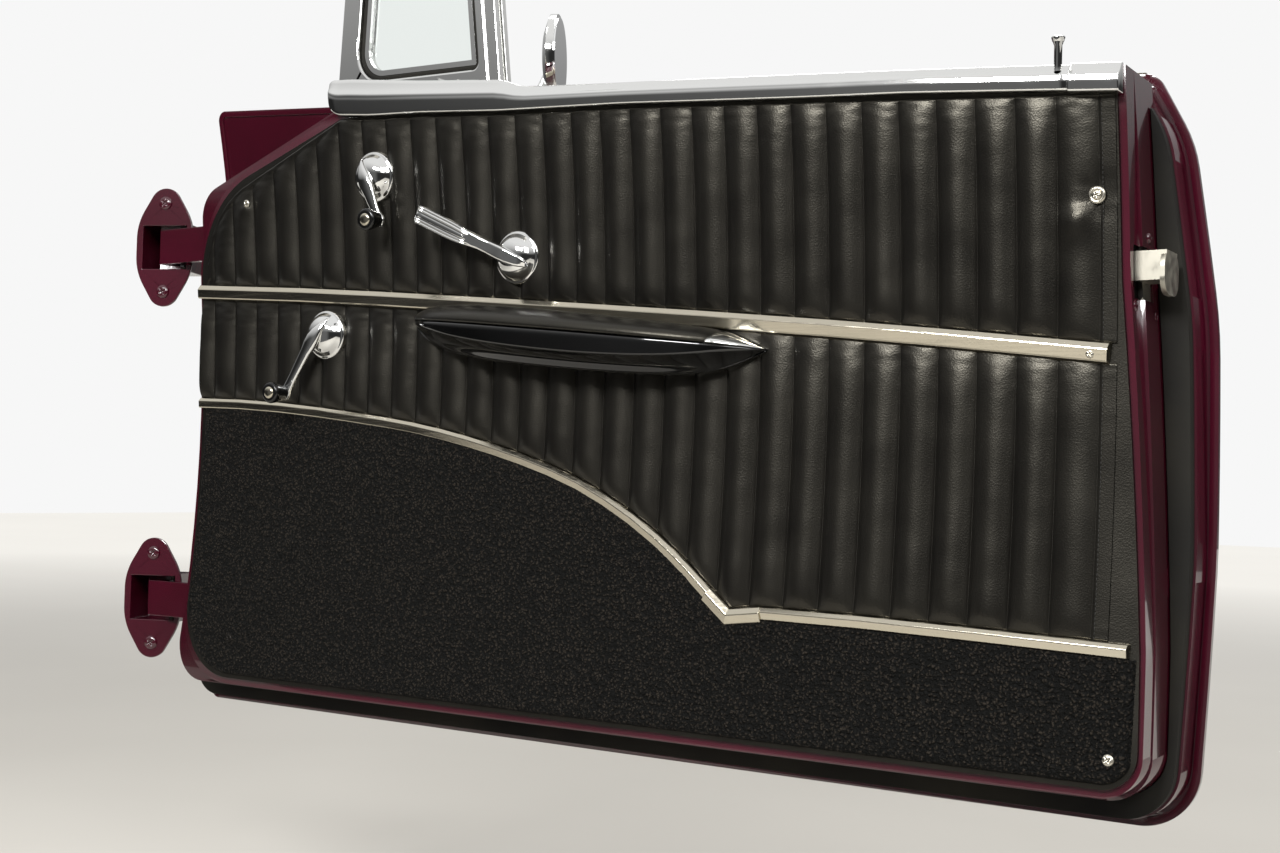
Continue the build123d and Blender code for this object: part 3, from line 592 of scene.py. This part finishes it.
def pad_section(out, top, square=2.7):
    """Open outline from the wall under the pad, round its front and back over its top."""
    rows = [(3, 0.3), (-0.5 * out, 0.3), (0.8 - 0.92 * out, 0.3), (0.4 - 0.99 * out, 0.5)]
    for k in range(10):
        angle = math.radians(4 + 86 * k / 9)
        height = max(0.3, top * math.sin(angle) ** (2 / square))
        rows.append((-out * math.cos(angle) ** (2 / square), height))
    return rows + [(3, top)]


def base_section(out, drop, lip, recess):
    """Open outline from under the pad, down the side band and along the finger recess to the wall."""
    foot = min(30.0, out * 0.6)
    rest = drop - lip
    return [
        (3, 0.2), (-0.6 * out, 0.2), (-out + 1.2, 0.1), (-out - 0.1, -0.6), (-out - 0.4, -lip * 0.5),
        (-out + 0.2, -lip + 0.5), (-out + 1.0, -lip - 0.3),
        (-out + 0.3 * foot + 5 * recess, -lip - 0.22 * rest + recess),
        (-out + 0.65 * foot + 5 * recess, -lip - 0.55 * rest + recess),
        (-out + 0.9 * foot, -lip - 0.85 * rest), (-out + 1.02 * foot, -drop + 0.5),
        (-8 - 0.2 * out, -drop), (3, -drop),
    ]


def tip_section(out, top):
    """Like the pad, but with a sharper shoulder."""
    return pad_section(out, top, 1.9)


# along, reach, height
PAD_ROWS = [
    (0, 5, 1.5), (2, 9, 4), (9, 20, 9), (22, 32, 14), (45, 46, 18.5), (75, 57, 21.5), (115, 64.5, 23),
    (170, 67.5, 22.6), (230, 68, 21.4), (290, 66, 19.4), (330, 62, 17.6), (360, 55, 16.2),
    (376, 48.5, 14.8), (385, 41, 12.5), (389, 31, 9), (389.6, 16, 5),
]
# along, reach, drop, side band, recess
BASE_ROWS = [
    (-1, 3, 2, 0.5, 0), (3, 10, 6, 1.5, 0), (12, 22, 13, 3, 0), (28, 35, 20, 5, 0), (50, 47, 27, 8, 0.1),
    (80, 57, 32, 12, 0.35), (120, 64, 35, 16, 0.75), (180, 66, 36, 19, 1), (250, 66, 36, 20, 1),
    (310, 62, 34.5, 18, 0.8), (345, 56, 32, 15, 0.4), (372, 47, 28, 11, 0.1), (392, 37, 21, 7, 0),
    (410, 25, 12.5, 4, 0), (422, 14, 6, 2, 0), (428, 5, 2, 0.8, 0),
]
# along, reach, height
TIP_ROWS = [
    (383, 43, 12), (385, 44.4, 13.6), (391, 42.5, 13.6), (400, 36, 11.6), (410, 27, 8.8), (419, 17, 5.8),
    (426, 8, 2.8), (429, 3, 1),
]
arm_piece("armrest_pad_sewn", PAD_ROWS, pad_section, vinyl, "armrest_pad")
arm_piece("armrest_base_moulded", BASE_ROWS, base_section, gloss_black, "armrest_base")
arm_piece("armrest_tip_cast", TIP_ROWS, tip_section, chrome, "armrest_tip")

# Cranks and inside handle: chrome domes, arms and a fluted grip, with black knobs that have bright ends.
# Domes and knobs are turned. Arms are rounded bars between the dome and the knob.
# Black knob plastic: smooth and less glossy than the armrest's base, with the dimples of handling.
knob_black, shader, coords = finish("black_knob_plastic", "#0a0a0a", Roughness=0.22)
relief(knob_black, shader, cloudy(knob_black, coords, 6.0), "Fac", 0.2, 0.15)
PLEAT_FACE = -5.0                   # depth of the seat that all three domes stand on
KNOB_SEAT = 22.0                    # height of a knob's foot over that seat
# radius, height
DOME_PROFILE = (
    (26.9, -3), (27.1, 0.4), (26.8, 1.8), (25.6, 2.8), (24.6, 2.9), (23.8, 3.6), (21.8, 8), (18.6, 11.6),
    (14.6, 14.2), (10, 15.8), (5, 16.7), (0, 17),
)
KNOB_PROFILE = (
    (0, -0.6), (7.2, -0.5), (8, 0.2), (8.4, 3), (9.8, 8), (11.4, 13), (11.8, 16), (11.2, 18), (9.6, 18.9),
    (6.8, 18.8),
)
KNOB_END = ((6.8, 18.2), (6.7, 19.1), (5.9, 19.9), (3.8, 20.5), (0, 20.7))


def bar(name, stations, mat, place, square=3.4, sides=28, flutes=None):
    """Rounded bar along the place's X, from rows of distance, half width, low and high side."""
    points = []
    for distance, half, low, high in stations:
        for k in range(sides):
            angle = 2 * math.pi * (k + 0.5) / sides
            c = math.cos(angle)
            s = math.sin(angle)
            across = math.copysign(abs(c) ** (2 / square), c) * half
            height = (low + high) / 2 + math.copysign(abs(s) ** (2 / square), s) * (high - low) / 2
            if flutes and s > 0.25 and distance > flutes[1]:
                height -= 1.0 * abs(math.cos(math.pi * flutes[0] * (across / half + 1) / 2)) ** 3
            points.append((distance / 1000, across / 1000, height / 1000))
    faces = grid_faces(len(stations), sides, loop=True)
    faces += [face[::-1] for face in end_faces(sides, len(points))]
    return piece(name, points, faces, mat, place=place)


# name, x, z, arm length, angle, knob stretch
CRANK_ROWS = [
    ("vent_crank", 400, -53, 51.5, -67.7, 1.0),
    ("window_crank", 322, -220, 78.4, -124.6, 1.15),
]
for name, x, z, length, angle, stretch in CRANK_ROWS:
    place = seat(x, z, PLEAT_FACE)
    dome = lathe(f"{name}_dome", DOME_PROFILE, chrome, place)
    turned = place @ Matrix.Rotation(math.radians(angle), 4, "Z")
    # distance, half width, low side, high side
    arm_rows = [
        (-20, 0.8, 10, 12), (-18.6, 1.8, 10.4, 13.6), (-12, 4, 12.4, 17.6), (-4, 6.6, 13.6, 21),
        (5, 8.4, 14.2, 22.6), (14, 8.6, 14.6, 22.8), (23, 7, 15.6, 22.6), (length * 0.72, 5.6, 16.4, 22.3),
        (length - 6, 6, 16, 22.3), (length - 2, 7.2, 15.6, 22.2), (length + 3, 7.2, 15.6, 22.2),
        (length + 6.4, 4.6, 16.2, 21.8), (length + 7.6, 1, 18, 20),
    ]
    bar(f"{name}_arm", arm_rows, chrome, turned, 2.6)
    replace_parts(dome, name)
    knob_place = turned @ Matrix.Translation((length / 1000, 0, KNOB_SEAT / 1000))
    knob_place = knob_place @ Matrix.Diagonal((1, 1, stretch, 1))
    knob = lathe(f"{name}_knob_black", KNOB_PROFILE, knob_black, knob_place)
    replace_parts(knob, f"{name}_knob")
    lathe(f"{name}_knob_end", KNOB_END, stainless, knob_place)

HANDLE_X = 591
HANDLE_Z = -150
HANDLE_ANGLE = 154.5                # from the rear over the top: the lever points forward, and up by 25.5
FLUTES = (6, 48.2)                  # flutes across the grip, and the distance where they start
GRIP_STEPS = 13
place = seat(HANDLE_X, HANDLE_Z, PLEAT_FACE)
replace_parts(lathe("inside_handle_dome", DOME_PROFILE, chrome, place), "inside_handle")
# distance, half width, low side, high side; the grip swells and rises between the neck and the tip
grip_rows = [
    (-22, 1, 10, 12), (-20.5, 3, 9.5, 13.6), (-12, 5.6, 10, 18.6), (0, 7, 11, 21.6), (12, 7.2, 12, 22.8),
    (24, 6.6, 14, 24), (34, 6.4, 17, 26), (42, 7, 20, 28.6), (47, 7.6, 22, 30.4), (48.4, 7.8, 22.6, 31.2),
]
for k in range(GRIP_STEPS):
    swell = 1.6 * math.sin(min(1, k / 5) * math.pi / 2)
    share = k / GRIP_STEPS
    grip_rows.append((50 + 5 * k, 8 + swell, 23 + 8.8 * share ** 0.7, 31.8 + 5.8 * share ** 0.8))
grip_rows += [(111, 9.6, 31.6, 37.8), (113.4, 9.2, 31, 37.2), (115, 7.6, 31.4, 36), (115.6, 4, 32.4, 35)]
grip_place = place @ Matrix.Rotation(math.radians(HANDLE_ANGLE), 4, "Z")
bar("inside_handle_grip", grip_rows, chrome, grip_place, square=4.5, sides=96, flutes=FLUTES)

# Garnish moulding: chrome-plated sill along the top of the trim, rolled below and sloping back above.
# It is swept along the door's top edge, and it swells and rounds off at its front end.
GARNISH_START = 338.0
# x and z along its lower edge, and x, z and corner radius along its upper edge
GARNISH_LOW = [
    (338, 17.6), (404, 10.5), (472, 6.5), (578, -3), (725, -12), (815, -19.5), (919, -28), (1016, -35),
    (1206, -53.1),
]
GARNISH_HIGH = corner_path([
    (338, 56.4, 0), (372, 54, 0), (470, 41.5, 60), (578, 30, 40), (604, 20, 60), (649, 16.4, 60),
    (721, 10.6, 0), (811, 3.8, 0), (916, -4.6, 0), (1013, -12.6, 0), (1103, -20.6, 0), (1206, -30.2, 0),
], 6)
# share of the height, depth
GARNISH_PROFILE = (
    (0.0, 1.2), (0.0, -8.4), (0.012, -9.6), (0.04, -10.1), (0.12, -10.3), (0.3, -10.3), (0.44, -9.9),
    (0.5, -9.3), (0.54, -9.3), (0.58, -8.6), (0.64, -6.9), (0.75, -4.6), (0.88, -2.4), (0.97, -1.0),
    (1.0, 0.6), (1.0, 4.6),
)
NOSE_LOW = 22.0                     # corner radii of the front end, below and above
NOSE_HIGH = 8.0
NOSE_FACE = 12                      # length over which the face rises to its full depth
NOSE = (0.3, 1.2, 2.8, 5, 8, 12, 16, 21, 28)
NOSE_END = 374.0
GARNISH_STEPS = 60
CAP_START = 1166.0
CAP_GROWTH = 1.2                    # the cap stands this far over the moulding
DOOR_END = 1205.0


def garnish(name, xs, grow, mat, node):
    """Length of the moulding, grown a little for the cap, with closed ends."""
    points = []
    for x in xs:
        nose = max(0.0, GARNISH_START + NOSE_LOW - x)
        low = level(GARNISH_LOW, x) + NOSE_LOW - math.sqrt(NOSE_LOW ** 2 - nose ** 2) - grow
        nose = max(0.0, GARNISH_START + NOSE_HIGH - x)
        high = level(GARNISH_HIGH, x) - NOSE_HIGH + math.sqrt(NOSE_HIGH ** 2 - nose ** 2) + grow
        nose = max(0.0, GARNISH_START + NOSE_FACE - x)
        fade = math.sqrt(max(0.02, 1 - (nose / NOSE_FACE) ** 2)) * (1 + grow / 10)
        for share, depth in GARNISH_PROFILE:
            points.append(spot(x, depth * fade if depth < 0 else depth, low + (high - low) * share))
    faces = grid_faces(len(xs), len(GARNISH_PROFILE)) + end_faces(len(GARNISH_PROFILE), len(points))
    obj = piece(name, points, faces, mat)
    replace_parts(obj, node)
    return obj


xs = [GARNISH_START + step for step in NOSE]
xs += [NOSE_END + (CAP_START - NOSE_END) * k / GARNISH_STEPS for k in range(GARNISH_STEPS + 1)]
garnish("garnish_rolled", xs, 0.0, chrome, "garnish_moulding")
xs = [1163, 1165, 1172, 1174, 1182, 1190, 1197, DOOR_END]
cap = garnish("garnish_cap_pressed", xs, CAP_GROWTH, chrome, "garnish_end_cap")
round_edges(cap, 1.0)

# Lock button: bright turned stem that rises through the garnish moulding to a flared head.
# Ribs run round the head's side, so that fingers can pull it.
BUTTON_SIDES = 48
BUTTON_RIB = 0.35
BUTTON_PLACE = (1154, -3.5, -25.0)      # x, depth and z of the hole, and the head's height over it
BUTTON_LIFT = 21.0
# radius, height under the head's rim, ribbed
BUTTON_ROWS = (
    (3.2, -28, 0), (3.3, -6, 0), (3.9, -5.2, 0), (3.9, -4.2, 0), (4.6, -3.4, 1), (5.5, -0.6, 1),
    (5.6, 0.2, 0), (5.0, 0.9, 0), (3.4, 0.6, 0), (0.02, 0.5, 0),
)
points = []
for i in range(BUTTON_SIDES):
    angle = 2 * math.pi * i / BUTTON_SIDES
    rib = BUTTON_RIB if i % 2 else 0.0
    for radius, height, ribbed in BUTTON_ROWS:
        reach = (radius - rib * ribbed) / 1000
        points.append((reach * math.cos(angle), reach * math.sin(angle), height / 1000))
faces = grid_faces(BUTTON_SIDES, len(BUTTON_ROWS), wrap=True)
place = Matrix.Translation(spot(*BUTTON_PLACE)) @ Matrix.Translation((0, 0, BUTTON_LIFT / 1000))
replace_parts(piece("lock_button_ribbed", points, faces, chrome, place=place), "lock_button")

# Painted steel: outer skin, inner frame and hinges in deep wine gloss over lightly beaten sheet.
# The CAD sheets stay. Painted screws hold the hinge plates, and three more the latch's case.
# Wine gloss paint: deep red in darker and lighter patches, under a clear, hard and slightly wavy shine.
paint, shader, coords = finish("wine_gloss_paint", "#3d0719", Roughness=0.2,
                               Coat_Weight=0.8, Coat_Roughness=0.03)
relief(paint, shader, cloudy(paint, coords, 1.4, 1.0), "Fac", 0.05, 0.2)
relief(paint, shader, cloudy(paint, coords, 55.0, 2.0), "Fac", 2.4, 0.3)
tint(paint, shader, cloudy(paint, coords, 120.0), "Fac", "#340512", "#46081d")
for name in ("outer_skin", "inner_frame"):
    dress(name, paint, 0.8)
for name in ("upper_hinge_base", "lower_hinge_base", "upper_hinge_strap", "lower_hinge_strap"):
    dress(name, paint, 0.7)
HINGE_Z = {"upper": -98.0, "lower": -531.0}
PIN_Y = 64.0
PLATE_TURN = math.radians(-65)      # the pillar plates stand turned by the door's open angle
PLATE_OUT = 32.0                    # from the pin's axis to the plate's face
PLATE_SIDE = 12.5                   # from the pin's axis aside to the plate's middle line
PLATE_SCREW_Z = 55
PLATE_SCREW_R = 8.5
out = Vector((math.cos(PLATE_TURN), math.sin(PLATE_TURN), 0))
up = Vector((0, 0, 1))
turn = Matrix((up.cross(out), up, out)).transposed().to_4x4()
x = PLATE_OUT * math.cos(PLATE_TURN) + PLATE_SIDE * math.sin(PLATE_TURN)
y = PIN_Y + PLATE_OUT * math.sin(PLATE_TURN) - PLATE_SIDE * math.cos(PLATE_TURN)
for level_name, z in HINGE_Z.items():
    for word, side in (("low", -PLATE_SCREW_Z), ("high", PLATE_SCREW_Z)):
        place = Matrix.Translation(frame_spot(x, y, z + side)) @ turn
        name = f"{level_name}_plate_screw_{word}"
        screw(name, place, PLATE_SCREW_R, paint, turn=side, body="pillar")

# x, y, z on the frame's rear wall round the latch
LATCH_SCREWS = ((1210.6, 44, -163), (1208.8, 14, -222), (1212.4, 58, -227))
LATCH_SCREW_R = 5.0
turn = Matrix(((0, 0, 1), (1, 0, 0), (0, 1, 0))).to_4x4()
for number, at in enumerate(LATCH_SCREWS):
    place = Matrix.Translation(frame_spot(*at)) @ turn
    screw(f"latch_screw_{number + 1}", place, LATCH_SCREW_R, paint, turn=30 * number)

# Rubber seals and steel fittings: moulded sponge strips, and plated pins, latch and glass channel.
# The CAD nodes stay, with rounded edges. The latch inside the frame's rear wall is dark steel: painted shade.
# Sponge rubber: dead black with a dusty bloom and fine pores.
rubber, shader, coords = finish("sponge_rubber", "#12110f", Roughness=0.7, Specular_IOR_Level=0.2)
relief(rubber, shader, cloudy(rubber, coords, 2.0), "Fac", 0.3, 0.3)
tint(rubber, shader, cloudy(rubber, coords, 60.0), "Fac", "#0f0e0d", "#26241e")
for name in ("weatherstrip", "front_weatherstrip", "vent_seal"):
    dress(name, rubber, 2.5, 3)
# Zinc plate: flat, pale grey metal with cloudy dull patches
zinc, shader, coords = finish("zinc_plated_steel", "#a9a599", Metallic=1.0, Roughness=0.4)
spread(zinc, shader, "Roughness", cloudy(zinc, coords, 5.0), "Fac", 0.3, 0.55)
for name in ("upper_hinge_pin", "lower_hinge_pin", "rear_run_channel", "latch"):
    dress(name, zinc, 1.2, 3)
# painted shade: the latch's faces inside the frame's rear wall take the dark blackened steel
LATCH_WALL = frame_spot(1209.5, 0, 0).x
latch = nodes["latch"]
latch.data.materials.append(blackened)
for polygon in latch.data.polygons:
    if (latch.matrix_world @ polygon.center).x < LATCH_WALL:
        polygon.material_index = 1

# Bright fittings: chrome-plated castings round the vent window and outside, and rolled stainless mouldings.
# The CAD nodes stay, with rounded edges. The two windows are clear glass, and the mirror is silvered.
dress("vent_frame", chrome, 2.4, 3)
for name in ("vent_pane_frame", "vent_pivot", "division_bar"):
    dress(name, chrome, 1.6, 3)
for name in ("outer_handle", "outer_button", "mirror_arm", "mirror_head"):
    dress(name, chrome, 1.6, 3)
for name in ("outer_belt_moulding", "side_moulding"):
    dress(name, stainless, 2.2, 3)
# Clear glass: faintly green, with a very slight wave. Silvered glass: a nearly perfect mirror.
glass, shader, coords = finish("clear_glass", "#f3f8f5", Roughness=0.0, Transmission_Weight=1.0, IOR=1.45)
relief(glass, shader, cloudy(glass, coords, 200.0, 1.0), "Fac", 0.2, 0.05)
for name in ("vent_glass", "door_glass"):
    dress(name, glass)
silver, shader, coords = finish("silvered_mirror", "#f4f4f4", Metallic=1.0, Roughness=0.01)
spread(silver, shader, "Roughness", cloudy(silver, coords, 30.0), "Fac", 0.005, 0.03)
dress("mirror_glass", silver, 0.4)

# Studio: pale floor, pale surround, and three soft lamps above. The floor ends just behind the camera.
# The camera and clear glass see the surround pale all round. Bright metal sees it pale overhead, and darker
# towards the level of the eye, which keeps the dark bands that the door's chrome has in a real room.
FLOOR_Z = -0.832
FLOOR_CORNERS = ((-15, -1.6), (8, -1.6), (8, 17), (-15, 17))
# Studio floor: matt, faintly uneven grey. Its far part is lifted, so that it runs into the surround.
floor_mat, shader, coords = finish("pale_studio_floor", "#bdb9b1", Roughness=0.55)
tint(floor_mat, shader, cloudy(floor_mat, coords, 900.0), "Fac", "#b8b4ac", "#c2beb6")
far = add(floor_mat, "ShaderNodeVectorMath", [(0, coords, "Object")], operation="LENGTH")
fade = add(floor_mat, "ShaderNodeMapRange", [("Value", far, "Value")],
           From_Min=1.6, From_Max=9.0, To_Min=0.0, To_Max=0.66)
looked = add(floor_mat, "ShaderNodeLightPath")
through = add(floor_mat, "ShaderNodeMath", [(0, looked, "Is Camera Ray"), (1, looked, "Is Transmission Ray")],
              operation="MAXIMUM")
shown = add(floor_mat, "ShaderNodeMath", [(0, through, "Value"), (1, looked, "Is Glossy Ray")],
            operation="MAXIMUM")
lift = add(floor_mat, "ShaderNodeMath", [(0, fade, "Result"), (1, shown, "Value")], operation="MULTIPLY")
floor_mat.node_tree.links.new(lift.outputs["Value"], shader.inputs["Emission Strength"])
shader.inputs["Emission Color"].default_value = linear("#f1efea")
data = bpy.data.meshes.new("studio_floor")
data.from_pydata([(x, y, FLOOR_Z) for x, y in FLOOR_CORNERS], [], [(0, 1, 2, 3)])
data.materials.append(floor_mat)
floor = bpy.data.objects.new("studio_floor", data)
bpy.context.scene.collection.objects.link(floor)

world = bpy.data.worlds.new("studio")
bpy.context.scene.world = world
world.use_nodes = True
background = world.node_tree.nodes["Background"]
direction = add(world, "ShaderNodeTexCoord")
parts = add(world, "ShaderNodeSeparateXYZ", [("Vector", direction, "Generated")])
# light from overhead, with a dim band at eye level that darkens to the door's front and rear; the limits
# are parts of the direction, from -1 to 1
above = add(world, "ShaderNodeMapRange", [("Value", parts, "Z")],
            From_Min=0.14, From_Max=0.75, To_Min=0.02, To_Max=0.7)
beside = add(world, "ShaderNodeMapRange", [("Value", parts, "X")],
             From_Min=-0.76, From_Max=-0.42, To_Min=0.02, To_Max=0.14)
darker = add(world, "ShaderNodeMapRange", [("Value", parts, "X")],
             From_Min=0.05, From_Max=0.4, To_Min=1.0, To_Max=0.2)
band = add(world, "ShaderNodeMath", [(0, beside, "Result"), (1, darker, "Result")], operation="MULTIPLY")
shade = add(world, "ShaderNodeMath", [(0, above, "Result"), (1, band, "Value")], operation="MAXIMUM")
seen = add(world, "ShaderNodeLightPath")
through = add(world, "ShaderNodeMath", [(0, seen, "Is Camera Ray"), (1, seen, "Is Transmission Ray")],
              operation="MAXIMUM")
height = add(world, "ShaderNodeMapRange", [("Value", parts, "Z")], From_Min=0.14, From_Max=0.75)
mirrored = add(world, "ShaderNodeMath", [(0, seen, "Is Glossy Ray"), (1, height, "Result")],
               operation="MULTIPLY")
clear = add(world, "ShaderNodeMath", [(0, through, "Value"), (1, mirrored, "Value")], operation="MAXIMUM")
pale = add(world, "ShaderNodeMapRange", [("Value", clear, "Value"), ("To Min", shade, "Value")], To_Max=0.93)
world.node_tree.links.new(pale.outputs["Result"], background.inputs["Color"])

# name, place, aim and size in frame metres, watts: one high in front of the trim, one above and beyond the
# door, and one behind its rear edge
LAMP_ROWS = (
    ("key_softbox", (0.85, -1.95, 0.9), (0.6, 0.0, -0.3), (1.2, 0.35), 54),
    ("top_softbox", (0.6, 1.3, 2.3), (0.6, 0.6, -0.8), (2.4, 1.2), 70),
    ("rear_softbox", (2.6, -1.6, 1.3), (0.6, 0.0, -0.2), (1.2, 1.2), 30),
)
for name, place, aim, size, power in LAMP_ROWS:
    lamp = bpy.data.lights.new(name, "AREA")
    lamp.shape = "RECTANGLE"
    lamp.size, lamp.size_y = size
    lamp.energy = power
    obj = bpy.data.objects.new(name, lamp)
    obj.location = place
    obj.rotation_euler = (Vector(aim) - Vector(place)).to_track_quat("-Z", "Y").to_euler()
    bpy.context.scene.collection.objects.link(obj)

# Camera: at the photograph's place, 1.3 m from the trim's plane and 0.35 m behind the door's rear edge.
# It looks forward and out through the door, a little upwards, and it is rolled by 1.4 degrees.
CAMERA_PLACE = (1.5965, -1.3133, -0.275)
SENSOR_MM = 36
PHOTO_PX = 1280
FOCAL_PX = 1600.0
YAW, PITCH, ROLL = math.radians(33.85), math.radians(-1.94), math.radians(1.38)
forward = Vector((-math.sin(YAW) * math.cos(PITCH), math.cos(YAW) * math.cos(PITCH), -math.sin(PITCH)))
level_right = Vector((math.cos(YAW), math.sin(YAW), 0))
level_up = level_right.cross(forward)
right = math.cos(ROLL) * level_right + math.sin(ROLL) * level_up
up = -math.sin(ROLL) * level_right + math.cos(ROLL) * level_up
lens = bpy.data.cameras.new("camera")
lens.lens = FOCAL_PX * SENSOR_MM / PHOTO_PX
lens.sensor_width = SENSOR_MM
camera = bpy.data.objects.new("camera", lens)
aimed = Matrix((right, up, -forward)).transposed().to_4x4()
camera.matrix_world = Matrix.Translation(CAMERA_PLACE) @ aimed
bpy.context.scene.collection.objects.link(camera)
bpy.context.scene.camera = camera
bpy.context.scene.view_settings.view_transform = "Standard"
